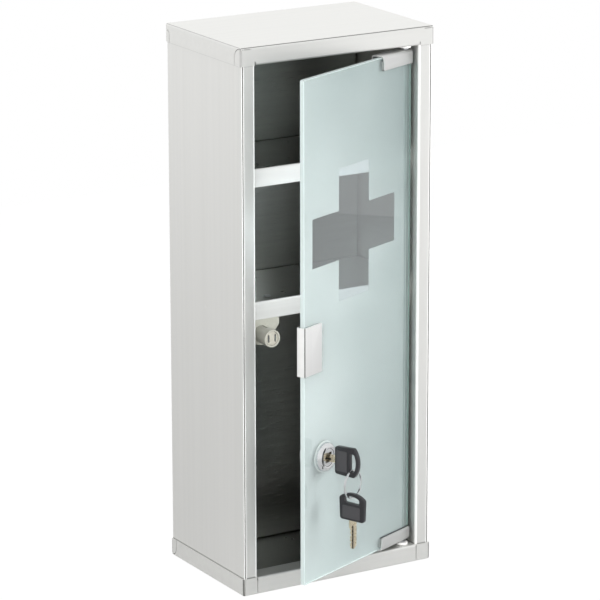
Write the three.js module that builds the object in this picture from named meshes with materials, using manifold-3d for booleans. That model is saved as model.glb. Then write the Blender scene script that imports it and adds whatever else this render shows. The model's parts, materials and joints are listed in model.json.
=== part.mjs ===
// Steel medicine cabinet with two shelves and a framed opening closed by a hinged glass door.
// Millimetres. +Z is up, the front looks along -Y, and the origin is the middle of the underside.
import * as THREE from 'three';
import { mergeVertices } from 'three/addons/utils/BufferGeometryUtils.js';
import Module from 'manifold-3d';

const wasm = await Module();
wasm.setup();
const { Manifold, Mesh } = wasm;

// Folded steel shell
const outerWidth = 178;
const outerDepth = 120;
const outerHeight = 450;
const sheet = 0.8;            // steel sheet of shell and shelves
const foldRadius = 1.6;       // outside radius of every fold
const fit = 0.3;              // gap between two pieces that touch
const capFlange = 15;         // height of the top cap's turned-down edges
const trayFlange = 14.5;      // height of the bottom tray's turned-up edges
const stileWidth = 12.3;      // face of the upright beside the door
const uprightFlange = 11;     // upright's outer edge laid on the side wall
const weldOverlap = 0.1;      // upright sunk into the side wall where they are joined
const backRecess = 5.5;       // back wall set in from the rear edges
const seam = 0.5;             // open seam between two folded flaps
const cornerSeam = 0.7;       // seam at the tray's front corners
const capEar = 9.5;           // cap's front flap carried round onto the side
const capRearEar = 6.4;       // cap's rear flap carried round onto the side
const capSeamRound = 8.5;     // round of the cap's front side seams
const capRearRound = 3.7;
const capRearDrop = 5;        // rear seams start this far below the top
const capSeamRun = 9;         // seam along the cap's front and rear edges
const trayRearEar = 8.2;      // tray's rear flap carried round onto the side
const traySeamRound = 6.5;
const seamDrop = 1.4;         // other seams start this far from the flat face
const relief = 1;             // notch at each end of a folded lip
const keyholeSpread = 110;    // between the two hanging keyholes
const keyholeDrop = 36;       // from the top of the cabinet
const keyholeRadius = 4.5;
const keyholeNeck = 2.3;
const keyholeRise = 10;

// Shelves
const upperShelfTop = 344.7;
const lowerShelfTop = 235.5;
const shelfSetback = 29;      // from the front of the cabinet
const shelfLip = 15;
const shelfSideFlange = 10;
const shelfRearFlange = 8;

// Glass door and its opening angle as it stands
const doorAngle = 23;
const glassThickness = 4;
const glassCorner = 1.5;
const glassBevel = 0.4;
const hingeSideGap = 2.2;     // glass to upright
const freeSideGap = 3;
const pivotInset = 6.5;       // from the glass's hinge-side edge
const pivotSetback = 8.5;     // from the front of the cabinet
const etchDepth = 0.2;        // frosted ground of the inner face
const crossWidth = 112;       // clear window left in the frosting
const crossHeight = 108;
const crossUpright = 41;
const crossArm = 40;
const crossFromFreeEdge = 13.5;
const crossMiddle = 297.2;

// Hinge clips, pins and bushes
const clipSheet = 1;
const clipFold = 3.4;         // outside radius of the clip's front fold
const clipRearFold = 1.8;
const clipReach = 34.5;       // from the pivot over the glass
const clipLead = 5.2;         // from the pivot towards the upright
const clipLeg = 11.6;         // height of the two legs
const clipBackSpace = 5;      // between glass and rear leg
const clipCorner = 1;
const glassSeat = 0.4;        // glass edge to clip
const clipLiner = 0.6;
const linerRim = 0.4;         // liner showing beyond the clip
const pressPlate = 2;
const pressPlateMargin = 2.5;
const grubRadius = 2;
const grubSpread = 18;
const grubFromEnd = 6.5;
const grubProud = 0.5;
const socketRadius = 1.15;
const socketDepth = 1.6;
const pinRadius = 2;
const pinCollar = 0.8;
const pinCollarRadius = 3.5;
const pinReach = 8;           // pin beyond its collar
const pinChamfer = 0.6;
const bushFlange = 1.7;
const bushFlangeRadius = 5;
const bushRadius = 3;
const bushReach = 2.5;        // bush beyond the lip
const lipMargin = 2.5;        // lip behind the bush

// Handle clip on the free edge
const handleMiddle = 213;
const handleHeight = 40;
const handleLeg = 23.4;
const handleSheet = 1;
const handleFold = 1.2;
const handleLiner = 0.4;
const handleCorner = 1;
const handleCrease = 0.7;     // groove along the handle's front fold
const handleCreaseDepth = 0.45;
const handleCreaseInset = 0.3;

// Cam lock
const lockFromEdge = 26;
const lockMiddle = 121;
const barrelRadius = 9.5;
const barrelFlat = 8.2;       // half width across the barrel's flats
const barrelBehindGlass = 11;
const holeClearance = 0.4;
const gasket = 0.6;
const gasketRadius = 13;
const bezelRadius = 12;
const bezelHeight = 4.3;
const bezelRim = 0.7;
const plugHeadRadius = 7.2;
const plugHead = 1.1;
const plugInset = 0.5;
const plugRadius = 6.4;
const plugRecess = 8;         // square hollow round the keyway
const plugRecessDepth = 1.8;
const rearWasher = 0.8;
const rearWasherRadius = 12.5;
const nutThickness = 4;
const nutAcross = 24;
const camThickness = 1.8;
const camHub = 8;
const camTip = 5;
const camOverlap = 8;         // cam behind the upright when locked
const camRunningGap = 0.7;
const driveSquare = 6.4;
const camScrewRadius = 1.7;
const camScrewHead = 4.5;
const camScrewHeadHeight = 2;
const camScrewDepth = 3;
const plugEndWall = 1;

// Keys and ring
const bladeHeight = 6;
const bladeThickness = 2;
const bladeLength = 23.5;
const bladeTang = 4.5;
const bladeShoulder = 0.9;    // step down where the blade enters the plug
const bladeGroove = 0.6;
const bladeGrooveHeight = 1.3;
const bladeGrooveStart = 4;   // from the bow
const bladeNotches = [0.9, 1.4, 0.6, 1.2];
const bladePoint = 2.4;       // width left at the blade's tip
const bladeTaper = 3.2;       // length of the tapered tip
const notchFirst = 1.6;       // plug face to the first notch
const notchPitch = 3.2;
const bowGap = 7.2;           // plug face to bow
const bowLength = 22.9;
const bowWidth = 24.4;        // at the shoulders of the arched end
const bowNeck = 23;           // at the blade
const bowArch = 4.4;          // rise of the arched end
const bowCorner = 2;
const bowEdge = 0.6;
const bowThickness = 4;
const bowPanel = 0.4;         // raised panel on each face of the bow
const panelMargin = 2;
const panelInset = 3;         // panel inside the neck's width
const panelCorner = 1;
const slotWidth = 6.2;
const slotLength = 15;
const slotRim = 2.4;          // bow left outside the slot
const slotCorner = 1.4;
const ringRadius = 11.25;     // to the middle of the wire
const ringWire = 0.75;

// Magnetic catch under the lower shelf
const catchFromUpright = 21.8;
const catchDrop = 27.2;       // barrel's middle below the shelf's top
const catchGap = 0.4;         // to the closed handle
const catchPlate = 2.2;
const catchPlateWidth = 32.8;
const catchShoulder = 6;      // straight side above the barrel's middle
const catchPlateRound = 9.5;
const catchFlangeDepth = 17;
const catchBarrel = 7.2;
const catchWall = 1.4;
const catchSlot = 1.6;
const catchSlotLength = 9;
const insertInset = 0.6;
const insertFace = 1.4;
const poleThickness = 1;
const poleHeight = 5.6;
const poleLength = 9.4;
const magnetThickness = 4.6;
const rivetRadius = 1.6;
const rivetHead = 3.2;
const rivetDome = 1.1;
const rivetShoulder = 0.75;   // height of the dome at rivetCurve
const rivetCurve = 2.4;
const rivetCrown = 1.1;       // flat on top of the dome
const rivetTail = 2.6;
const rivetSpread = 22;

// Places worked out from the sizes
const frontY = -outerDepth / 2;
const backY = outerDepth / 2;
const halfWidth = outerWidth / 2;
const bodyHalf = halfWidth - sheet - fit;
const bodyFront = frontY + sheet + fit;
const bodyBack = backY - sheet - fit;
const bodyBottom = sheet + fit;
const bodyTop = outerHeight - sheet - fit;
const openHalf = bodyHalf - stileWidth;
const openTop = outerHeight - capFlange;
const openBottom = trayFlange;
const innerHalf = bodyHalf - sheet - fit;
const lipHalf = openHalf - fit;
const lipDepth = pivotSetback + bushFlangeRadius + lipMargin;
const backWall = backY - backRecess - sheet;

const pivotX = openHalf - hingeSideGap - pivotInset;
const pivotY = frontY + pivotSetback;
const glassHalf = glassThickness / 2;
const glassRight = pivotInset;
const glassLeft = pivotInset - (2 * openHalf - hingeSideGap - freeSideGap);
const hingeStack = fit + bushFlange + fit + pinCollar + fit;
const glassTop = openTop - hingeStack - clipSheet - glassSeat;
const glassBottom = openBottom + hingeStack + clipSheet + glassSeat;

const gasketFront = -(glassHalf + fit + gasket);
const bezelBack = gasketFront - fit;
const bezelFront = bezelBack - bezelHeight;
const plugFront = bezelFront + plugInset;
const barrelEnd = glassHalf + barrelBehindGlass;
const plugEnd = barrelEnd + fit;
const camFront = plugEnd + fit;
const camBack = camFront + camThickness;
const driveEnd = camBack + fit;
const lockX = glassLeft + lockFromEdge;
const jambBack = pivotY + camFront - camRunningGap;
const camReach = pivotX + lockX + openHalf + camOverlap;

const bowInner = plugFront - bowGap;
const bowOuter = bowInner - bowLength;
const slotOuter = bowOuter + slotRim;
const slotInner = slotOuter + slotWidth;
const slotRound = ((bowWidth / 2) ** 2 + bowArch ** 2) / (2 * bowArch) - slotRim;
const slotArch = slotRound - Math.sqrt(slotRound ** 2 - (slotLength / 2) ** 2);
const slotLow = lockMiddle - slotLength / 2;
const ringY = (slotOuter + slotArch + slotInner) / 2;
const ringDip = Math.sqrt(ringRadius ** 2 - (bowThickness / 2) ** 2);
const ringMiddle = slotLow + fit + ringWire - ringDip;
const spareSlotTop = ringMiddle - ringDip + ringWire + fit;

const handleOuter = glassLeft - fit - handleLiner - fit - handleSheet;
const handleHalf = glassHalf + fit + handleLiner + fit + handleSheet;

const catchX = -openHalf + catchFromUpright;
const catchZ = lowerShelfTop - catchDrop;

const X = new THREE.Vector3(1, 0, 0);
const Y = new THREE.Vector3(0, 1, 0);
const Z = new THREE.Vector3(0, 0, 1);
const towardsFront = new THREE.Vector3(0, -1, 0);

// Solids from shapes

function toSolid(geometry) {
  const bare = geometry.clone();
  bare.deleteAttribute('normal');
  bare.deleteAttribute('uv');
  const welded = mergeVertices(bare, 1e-4);
  const index = welded.index.array;
  const faces = [];
  for (let i = 0; i < index.length; i += 3) {
    const [a, b, c] = [index[i], index[i + 1], index[i + 2]];
    if (a !== b && b !== c && c !== a) faces.push(a, b, c);
  }
  const points = new Float32Array(welded.attributes.position.array);
  return new Manifold(new Mesh({ numProp: 3, vertProperties: points, triVerts: new Uint32Array(faces) }));
}

function toGeometry(solid) {
  const mesh = solid.getMesh();
  const geometry = new THREE.BufferGeometry();
  geometry.setAttribute('position', new THREE.BufferAttribute(new Float32Array(mesh.vertProperties), 3));
  geometry.setIndex(new THREE.BufferAttribute(new Uint32Array(mesh.triVerts), 1));
  geometry.computeVertexNormals();
  return geometry;
}

function moved(solid, matrix) {
  return toSolid(toGeometry(solid).applyMatrix4(matrix));
}

function block([x0, x1], [y0, y1], [z0, z1]) {
  const geometry = new THREE.BoxGeometry(x1 - x0, y1 - y0, z1 - z0);
  geometry.translate((x0 + x1) / 2, (y0 + y1) / 2, (z0 + z1) / 2);
  return toSolid(geometry);
}

// Round bar along Y or Z through the given point of the cross plane
function rodY(radius, [y0, y1], x, z, sides = 32) {
  const geometry = new THREE.CylinderGeometry(radius, radius, y1 - y0, sides);
  geometry.translate(x, (y0 + y1) / 2, z);
  return toSolid(geometry);
}

function rodZ(radius, [z0, z1], x, y, sides = 32) {
  const geometry = new THREE.CylinderGeometry(radius, radius, z1 - z0, sides);
  geometry.rotateX(Math.PI / 2);
  geometry.translate(x, y, (z0 + z1) / 2);
  return toSolid(geometry);
}

// Turned piece about the Y axis, from a closed profile of [radius, y] that runs anticlockwise
function turnedY(profile, x, z, sides = 40) {
  const loop = [...profile, profile[0]].map(([r, y]) => new THREE.Vector2(r, y));
  const geometry = new THREE.LatheGeometry(loop, sides);
  geometry.translate(x, 0, z);
  return toSolid(geometry);
}

// The same about the Z axis, from [radius, z]
function turnedZ(profile, x, y, sides = 32) {
  const loop = [...profile, profile[0]].map(([r, z]) => new THREE.Vector2(r, z));
  const geometry = new THREE.LatheGeometry(loop, sides);
  geometry.rotateX(Math.PI / 2);
  geometry.translate(x, y, 0);
  return toSolid(geometry);
}

// Prism along X (drawn in Y,Z), along Y (drawn in X,Z) or along Z (drawn in X,Y)
function prism(axis, shape, [start, end], bevel = 0) {
  const geometry = new THREE.ExtrudeGeometry(shape, {
    depth: end - start - 2 * bevel,
    bevelEnabled: bevel > 0,
    bevelThickness: bevel,
    bevelSize: bevel,
    bevelOffset: -bevel,
    bevelSegments: 1,
    curveSegments: 6,
  });
  geometry.translate(0, 0, bevel);
  const turn = new THREE.Matrix4();
  if (axis === 'x') turn.makeBasis(Y, Z, X).setPosition(start, 0, 0);
  if (axis === 'y') turn.makeBasis(X, Z, towardsFront).setPosition(0, end, 0);
  if (axis === 'z') turn.makeTranslation(0, 0, start);
  geometry.applyMatrix4(turn);
  return toSolid(geometry);
}

// Points of a line with its corner at the middle point rounded off
function roundCorner(before, corner, after, radius, steps = 4) {
  const p = new THREE.Vector2(...corner);
  const into = p.clone().sub(new THREE.Vector2(...before)).normalize();
  const out = new THREE.Vector2(...after).sub(p).normalize();
  const turn = Math.atan2(into.x * out.y - into.y * out.x, into.dot(out));
  const side = Math.sign(turn);
  const start = p.clone().addScaledVector(into, -radius * Math.tan(Math.abs(turn) / 2));
  const normal = new THREE.Vector2(-into.y, into.x).multiplyScalar(side);
  const centre = start.clone().addScaledVector(normal, radius);
  const arm = start.clone().sub(centre);
  const points = [];
  for (let i = 0; i <= steps; i += 1) {
    const spoke = arm.clone().rotateAround(new THREE.Vector2(), (turn * i) / steps);
    points.push(centre.clone().add(spoke));
  }
  return points;
}

// Section of a folded sheet: the line is one face, the metal lies on its left.
// The outside radius is one number for all folds or a list with one for each.
function foldedSheet(line, thickness, radius) {
  const directions = line.slice(1).map(([a, b], i) =>
    new THREE.Vector2(a - line[i][0], b - line[i][1]).normalize());
  const left = directions.map((d) => new THREE.Vector2(-d.y, d.x));
  const other = line.map(([a, b], i) => {
    const n1 = left[Math.max(i - 1, 0)];
    const n2 = left[Math.min(i, left.length - 1)];
    const step = n1.clone().add(n2).multiplyScalar(thickness / (1 + n1.dot(n2)));
    return [a + step.x, b + step.y];
  });
  const near = [new THREE.Vector2(...line[0])];
  const far = [new THREE.Vector2(...other[0])];
  for (let i = 1; i < line.length - 1; i += 1) {
    const turnsLeft = directions[i - 1].cross(directions[i]) > 0;
    const outside = Array.isArray(radius) ? radius[i - 1] : radius;
    const inside = Math.max(outside - thickness, 0.05);
    near.push(...roundCorner(line[i - 1], line[i], line[i + 1], turnsLeft ? outside : inside));
    far.push(...roundCorner(other[i - 1], other[i], other[i + 1], turnsLeft ? inside : outside));
  }
  near.push(new THREE.Vector2(...line[line.length - 1]));
  far.push(new THREE.Vector2(...other[other.length - 1]));
  return new THREE.Shape([...near, ...far.reverse()]);
}

// Closed outline with rounded corners
function softOutline(corners, radius, steps = 3) {
  const count = corners.length;
  const points = corners.flatMap((corner, i) =>
    roundCorner(corners[(i + count - 1) % count], corner, corners[(i + 1) % count], radius, steps));
  return new THREE.Shape(points);
}

function softRectangle([a0, a1], [b0, b1], radius, steps = 3) {
  return softOutline([[a0, b0], [a1, b0], [a1, b1], [a0, b1]], radius, steps);
}

// Upright block with a flat top at the given height, rounded along its top and upright edges
function softBlock(width, depth, height, edge) {
  const spot = 0.05;
  const across = width / 2 - edge + spot;
  const along = depth / 2 - edge + spot;
  const below = 4 * edge;
  const geometry = new THREE.ExtrudeGeometry(softRectangle([-across, across], [-along, along], spot), {
    depth: height + below,
    bevelEnabled: true,
    bevelThickness: edge,
    bevelSize: edge - spot,
    bevelSegments: 3,
  });
  geometry.translate(0, 0, -below - edge);
  return toSolid(geometry);
}

// Folded pan: a flat face on top, four edges turned down to zero
function pan(width, depth, height) {
  const outside = softBlock(width, depth, height, foldRadius);
  const inside = softBlock(width - 2 * sheet, depth - 2 * sheet, height - sheet, foldRadius - sheet);
  const waste = block([-width, width], [-depth, depth], [-20 * foldRadius, 0]);
  return outside.subtract(inside).subtract(waste);
}

// Shell

// Span of a cut through a wall whose outer face is that far from the middle
function acrossWall(side, face) {
  return side > 0 ? [face - 2 * sheet, face + 1] : [-face - 1, -face + 2 * sheet];
}

// Open seam on a side wall: along the flat face, round, and out through the flange
function sideSeam(side, cornerY, earEdge, faceZ, flangeZ, radius, drop = seamDrop) {
  const away = Math.sign(cornerY - earEdge);
  const level = faceZ + Math.sign(flangeZ - faceZ) * drop;
  const run = [[cornerY + away * 2, level], [earEdge, level], [earEdge, flangeZ + (flangeZ - faceZ)]];
  return prism('x', foldedSheet(run, seam, radius), acrossWall(side, halfWidth));
}

// Level seam along the front or rear wall, between two distances from the middle
function edgeSeam(side, wallY, from, to, level) {
  const reach = side > 0 ? [from, to] : [-to, -from];
  const through = acrossWall(Math.sign(wallY), Math.abs(wallY));
  return block(reach, through, [level - seam / 2, level + seam / 2]);
}

// Front edge of the opening: the flange's edge is replaced by a lip folded inwards
function withLip(shell, edgeZ, inwards) {
  const stub = 2 * foldRadius;
  const notchHalf = lipHalf + relief;
  const clear = [edgeZ - inwards * 2, edgeZ + inwards * (stub - fit)].sort((a, b) => a - b);
  const line = [[frontY, edgeZ + inwards * stub], [frontY, edgeZ], [frontY + lipDepth, edgeZ]];
  if (inwards < 0) line.reverse();
  return shell
    .subtract(block([-notchHalf, notchHalf], [frontY - 1, frontY + 2 * sheet], clear))
    .add(prism('x', foldedSheet(line, sheet, foldRadius), [-lipHalf, lipHalf]))
    .subtract(rodZ(bushRadius + fit, [edgeZ - stub, edgeZ + stub], pivotX, pivotY));
}

function topCap() {
  let cap = pan(outerWidth, outerDepth, capFlange);
  cap = moved(cap, new THREE.Matrix4().makeTranslation(0, 0, openTop));
  cap = withLip(cap, openTop, 1);
  const frontLevel = outerHeight - seamDrop - seam / 2;
  const rearLevel = outerHeight - capRearDrop - seam / 2;
  const rearEdge = backY - capRearEar;
  for (const side of [-1, 1]) {
    cap = cap
      .subtract(sideSeam(side, frontY, frontY + capEar, outerHeight, openTop, capSeamRound))
      .subtract(sideSeam(side, backY, rearEdge, outerHeight, openTop, capRearRound, capRearDrop))
      .subtract(edgeSeam(side, frontY, halfWidth - capSeamRun, halfWidth + 1, frontLevel))
      .subtract(edgeSeam(side, backY, halfWidth - capSeamRun, halfWidth + 1, rearLevel));
  }
  return cap;
}

function bottomTray() {
  let tray = pan(outerWidth, outerDepth, trayFlange);
  const flip = new THREE.Matrix4().makeRotationX(Math.PI);
  tray = moved(tray, flip.setPosition(0, 0, trayFlange));
  tray = withLip(tray, openBottom, -1);
  const level = seamDrop + seam / 2;
  for (const side of [-1, 1]) {
    for (const from of [openHalf, halfWidth - sheet - cornerSeam]) {
      const to = from === openHalf ? from + seam : from + cornerSeam;
      const gap = side > 0 ? [from, to] : [-to, -from];
      tray = tray.subtract(block(gap, [frontY - 1, frontY + 2 * sheet], [foldRadius, trayFlange + 1]));
    }
    tray = tray
      .subtract(sideSeam(side, backY, backY - trayRearEar, 0, trayFlange, traySeamRound))
      .subtract(edgeSeam(side, backY, halfWidth - capSeamRun, halfWidth + 1, level));
  }
  return tray;
}

// Side wall with a bare front edge, and the upright beside the door folded up and joined inside it
function sidePanel(side) {
  const inner = bodyHalf - sheet + weldOverlap;
  const line = [
    [side * inner, bodyFront + uprightFlange],
    [side * inner, bodyFront],
    [side * openHalf, bodyFront],
    [side * openHalf, jambBack],
  ];
  if (side > 0) line.reverse();
  const wall = side > 0 ? [bodyHalf - sheet, bodyHalf] : [-bodyHalf, sheet - bodyHalf];
  return prism('z', foldedSheet(line, sheet, foldRadius), [bodyBottom, bodyTop])
    .add(block(wall, [bodyFront, bodyBack], [bodyBottom, bodyTop]));
}

// Back wall with its edges turned to the rear and two keyholes to hang it by
function backPanel() {
  const rim = bodyBack - backWall;
  const turn = new THREE.Matrix4().makeRotationX(Math.PI / 2);
  turn.setPosition(0, backWall + rim, (bodyBottom + bodyTop) / 2);
  let wall = moved(pan(2 * innerHalf, bodyTop - bodyBottom, rim), turn);
  for (const side of [-1, 1]) {
    const x = (side * keyholeSpread) / 2;
    const z = outerHeight - keyholeDrop;
    const through = [backWall - 1, backWall + 2 * sheet];
    wall = wall
      .subtract(rodY(keyholeRadius, through, x, z, 24))
      .subtract(rodY(keyholeNeck, through, x, z + keyholeRise, 16))
      .subtract(block([x - keyholeNeck, x + keyholeNeck], through, [z, z + keyholeRise]));
  }
  return wall;
}

// Shelf with a deep front lip and shorter edges at the sides and rear
function shelf(top) {
  const front = frontY + shelfSetback;
  const rear = backWall - fit;
  const place = new THREE.Matrix4().makeTranslation(0, (front + rear) / 2, top - shelfLip);
  let tray = moved(pan(2 * innerHalf, rear - front, shelfLip), place);
  const below = top - shelfLip - 1;
  for (const side of [-1, 1]) {
    const along = [front + 2 * foldRadius, rear + 1];
    tray = tray.subtract(block(acrossWall(side, innerHalf), along, [below, top - shelfSideFlange]));
  }
  const across = [-innerHalf - 1, innerHalf + 1];
  return tray.subtract(block(across, [rear - 2 * sheet, rear + 1], [below, top - shelfRearFlange]));
}

function lowerShelf() {
  let tray = shelf(lowerShelfTop);
  for (const side of [-1, 1]) {
    const [x, y] = rivetPlace(side);
    tray = tray.subtract(rodZ(rivetRadius + fit, [lowerShelfTop - 2 * sheet, lowerShelfTop + 1], x, y, 16));
  }
  return tray;
}

// Door, drawn closed with the pivot axis as its origin

function crossOutline() {
  const middle = glassLeft + crossFromFreeEdge + crossWidth / 2;
  const [a, b] = [crossUpright / 2, crossWidth / 2];
  const [c, d] = [crossArm / 2, crossHeight / 2];
  const corners = [
    [-a, -d], [a, -d], [a, -c], [b, -c], [b, c], [a, c],
    [a, d], [-a, d], [-a, c], [-b, c], [-b, -c], [-a, -c],
  ];
  return new THREE.Shape(corners.map(([x, z]) => new THREE.Vector2(middle + x, crossMiddle + z)));
}

// Pane, ground back on its inner face all round the clear cross
function doorGlass() {
  const outline = softRectangle([glassLeft, glassRight], [glassBottom, glassTop], glassCorner);
  const ground = block(
    [glassLeft - 1, glassRight + 1],
    [glassHalf - etchDepth, glassHalf + 1],
    [glassBottom - 1, glassTop + 1],
  ).subtract(prism('y', crossOutline(), [0, glassThickness]));
  return prism('y', outline, [-glassHalf, glassHalf], glassBevel)
    .subtract(ground)
    .subtract(rodY(barrelRadius + holeClearance, [-glassThickness, glassThickness], lockX, lockMiddle, 40));
}

// One hinge set, drawn at the top and mirrored for the bottom
const clipWeb = glassTop + glassSeat + clipSheet;
const clipFoot = clipWeb - clipLeg;
const clipFront = -(glassHalf + fit + clipLiner + fit + clipSheet);
const clipRear = glassHalf + clipBackSpace + clipSheet;
const grubPlaces = [-clipReach + grubFromEnd, -clipReach + grubFromEnd + grubSpread];
const grubHeight = clipFoot + (clipLeg - clipSheet) / 2;

function hingeClip() {
  const line = [[clipRear, clipFoot], [clipRear, clipWeb], [clipFront, clipWeb], [clipFront, clipFoot]];
  const outline = softRectangle([-clipReach, clipLead], [clipFoot, clipWeb + clipFold], clipCorner);
  let clip = prism('x', foldedSheet(line, clipSheet, [clipRearFold, clipFold]), [-clipReach, clipLead])
    .intersect(prism('y', outline, [clipFront - 1, clipRear + 1]))
    .subtract(rodZ(pinRadius + fit, [clipWeb - 2 * clipSheet, clipWeb + 1], 0, 0));
  for (const x of grubPlaces) {
    clip = clip.subtract(rodY(grubRadius + fit, [clipRear - 2 * clipSheet, clipRear + 1], x, grubHeight, 24));
  }
  return clip;
}

function hingeLiner() {
  const outline = softRectangle(
    [-clipReach - linerRim, clipLead],
    [clipFoot - linerRim, clipWeb - clipFold - fit],
    clipCorner,
  );
  return prism('y', outline, [-glassHalf - fit - clipLiner, -glassHalf - fit]);
}

function hingePressPlate() {
  const outline = softRectangle(
    [-clipReach + pressPlateMargin, clipLead - pressPlateMargin],
    [clipFoot + fit, glassTop - fit],
    clipCorner,
  );
  return prism('y', outline, [glassHalf + fit, glassHalf + fit + pressPlate]);
}

function hingeGrub(x) {
  const front = glassHalf + fit + pressPlate + fit;
  const rear = clipRear + grubProud;
  return rodY(grubRadius, [front, rear], x, grubHeight, 20)
    .subtract(rodY(socketRadius, [rear - socketDepth, rear + 1], x, grubHeight, 6));
}

function hingePin() {
  const collarLow = clipWeb + fit;
  const collarTop = collarLow + pinCollar;
  const end = collarTop + pinReach;
  return turnedZ([
    [0, clipWeb - clipSheet + fit],
    [pinRadius, clipWeb - clipSheet + fit],
    [pinRadius, collarLow],
    [pinCollarRadius, collarLow],
    [pinCollarRadius, collarTop],
    [pinRadius, collarTop],
    [pinRadius, end - pinChamfer],
    [pinRadius - pinChamfer, end],
    [0, end],
  ], 0, 0);
}

function hingeBush() {
  const flangeLow = openTop - fit - bushFlange;
  return turnedZ([
    [pinRadius + fit, flangeLow],
    [bushFlangeRadius, flangeLow],
    [bushFlangeRadius, openTop - fit],
    [bushRadius, openTop - fit],
    [bushRadius, openTop + sheet + bushReach],
    [pinRadius + fit, openTop + sheet + bushReach],
  ], 0, 0);
}

// The bottom hinge is the top one turned over about the middle of the opening
function turnedOver(solid) {
  const geometry = toGeometry(solid);
  geometry.scale(1, 1, -1);
  geometry.translate(0, 0, openTop + openBottom);
  const index = geometry.index.array;
  for (let i = 0; i < index.length; i += 3) [index[i], index[i + 1]] = [index[i + 1], index[i]];
  return toSolid(geometry);
}

function handleClip() {
  const end = handleOuter + handleLeg;
  const line = [[end, handleHalf], [handleOuter, handleHalf], [handleOuter, -handleHalf], [end, -handleHalf]];
  const height = [handleMiddle - handleHeight / 2, handleMiddle + handleHeight / 2];
  const outline = softRectangle([handleOuter - 2 * handleFold, end], height, handleCorner);
  const crease = handleOuter + handleCreaseInset;
  return prism('z', foldedSheet(line, handleSheet, handleFold), height)
    .intersect(prism('y', outline, [-handleHalf - 1, handleHalf + 1]))
    .subtract(block(
      [crease, crease + handleCrease],
      [-handleHalf - 1, -handleHalf + handleCreaseDepth],
      [height[0] - 1, height[1] + 1],
    ));
}

function handlePad() {
  const inset = handleSheet + fit;
  const end = handleOuter + handleLeg - fit;
  const half = handleHalf - inset;
  const web = handleOuter + inset;
  const line = [[end, half], [web, half], [web, -half], [end, -half]];
  const reach = handleHeight / 2 - fit;
  return prism('z', foldedSheet(line, handleLiner, handleFold), [handleMiddle - reach, handleMiddle + reach]);
}

// Lock

function lockBody() {
  const mouth = plugHeadRadius + fit;
  const bore = plugRadius + fit;
  const step = plugFront + plugHead + fit;
  const crown = mouth + bezelRim;
  const dome = [];
  for (let i = 0; i <= 6; i += 1) {
    const turn = (i / 6) * (Math.PI / 2);
    const rise = bezelHeight - bezelRim;
    const radius = crown + (bezelRadius - crown) * Math.sin(turn);
    dome.push([radius, bezelBack - bezelRim - rise * Math.cos(turn)]);
  }
  const body = turnedY([
    [bore, step],
    [mouth, step],
    [mouth, bezelFront + bezelRim / 2],
    ...dome,
    [bezelRadius, bezelBack],
    [barrelRadius, bezelBack],
    [barrelRadius, barrelEnd],
    [bore, barrelEnd],
  ], lockX, lockMiddle, 48);
  let cut = body;
  for (const side of [-1, 1]) {
    const inner = lockX + side * barrelFlat;
    const outer = lockX + side * (barrelRadius + 1);
    const flat = [Math.min(inner, outer), Math.max(inner, outer)];
    const height = [lockMiddle - barrelRadius, lockMiddle + barrelRadius];
    cut = cut.subtract(block(flat, [glassHalf, barrelEnd + 1], height));
  }
  return cut;
}

function ringPlate(radius, [y0, y1], sides = 40) {
  const hole = barrelRadius + fit;
  return rodY(radius, [y0, y1], lockX, lockMiddle, sides)
    .subtract(rodY(hole, [y0 - 1, y1 + 1], lockX, lockMiddle, 40));
}

function lockNut() {
  const front = glassHalf + fit + rearWasher + fit;
  return ringPlate(nutAcross / Math.sqrt(3), [front, front + nutThickness], 6);
}

const bladeEnd = bowInner + bladeLength;
const keywayEnd = bladeEnd + fit;

function lockPlug() {
  const body = turnedY([
    [0, plugFront],
    [plugHeadRadius, plugFront],
    [plugHeadRadius, plugFront + plugHead],
    [plugRadius, plugFront + plugHead],
    [plugRadius, plugEnd],
    [0, plugEnd],
  ], lockX, lockMiddle, 40);
  const square = driveSquare / 2;
  const hollow = plugRecess / 2;
  const wide = bladeThickness / 2 + fit;
  const tall = bladeHeight / 2 + fit;
  return body
    .add(block(
      [lockX - square, lockX + square],
      [plugEnd - 1, driveEnd],
      [lockMiddle - square, lockMiddle + square],
    ))
    .subtract(block(
      [lockX - hollow, lockX + hollow],
      [plugFront - 1, plugFront + plugRecessDepth],
      [lockMiddle - hollow, lockMiddle + hollow],
    ))
    .subtract(block(
      [lockX - wide, lockX + wide],
      [plugFront - 1, keywayEnd],
      [lockMiddle - tall, lockMiddle + tall],
    ))
    .subtract(rodY(camScrewRadius + fit, [keywayEnd + plugEndWall, driveEnd + 1], lockX, lockMiddle, 20));
}

// Cam hanging straight down, unlocked
function lockCam() {
  const shape = new THREE.Shape();
  shape.moveTo(-camHub, 0);
  shape.absarc(0, 0, camHub, Math.PI, 0, true);
  shape.lineTo(camTip, -camReach + camTip);
  shape.absarc(0, -camReach + camTip, camTip, 0, -Math.PI, true);
  shape.closePath();
  const square = driveSquare / 2 + fit;
  const cam = prism('y', shape, [camFront, camBack])
    .subtract(block([-square, square], [camFront - 1, camBack + 1], [-square, square]));
  return moved(cam, new THREE.Matrix4().makeTranslation(lockX, 0, lockMiddle));
}

function camScrew() {
  const head = driveEnd + fit;
  const tip = Math.max(driveEnd - camScrewDepth, keywayEnd + plugEndWall + fit);
  return rodY(camScrewHead, [head, head + camScrewHeadHeight], lockX, lockMiddle, 24)
    .add(rodY(camScrewRadius, [tip, head + camScrewHeadHeight / 2], lockX, lockMiddle, 20))
    .subtract(block(
      [lockX - camScrewHead / 8, lockX + camScrewHead / 8],
      [head + camScrewHeadHeight / 2, head + camScrewHeadHeight + 1],
      [lockMiddle - 2 * camScrewHead, lockMiddle + 2 * camScrewHead],
    ));
}

// Keys, drawn along Y with the blade's middle line on the axis

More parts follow.
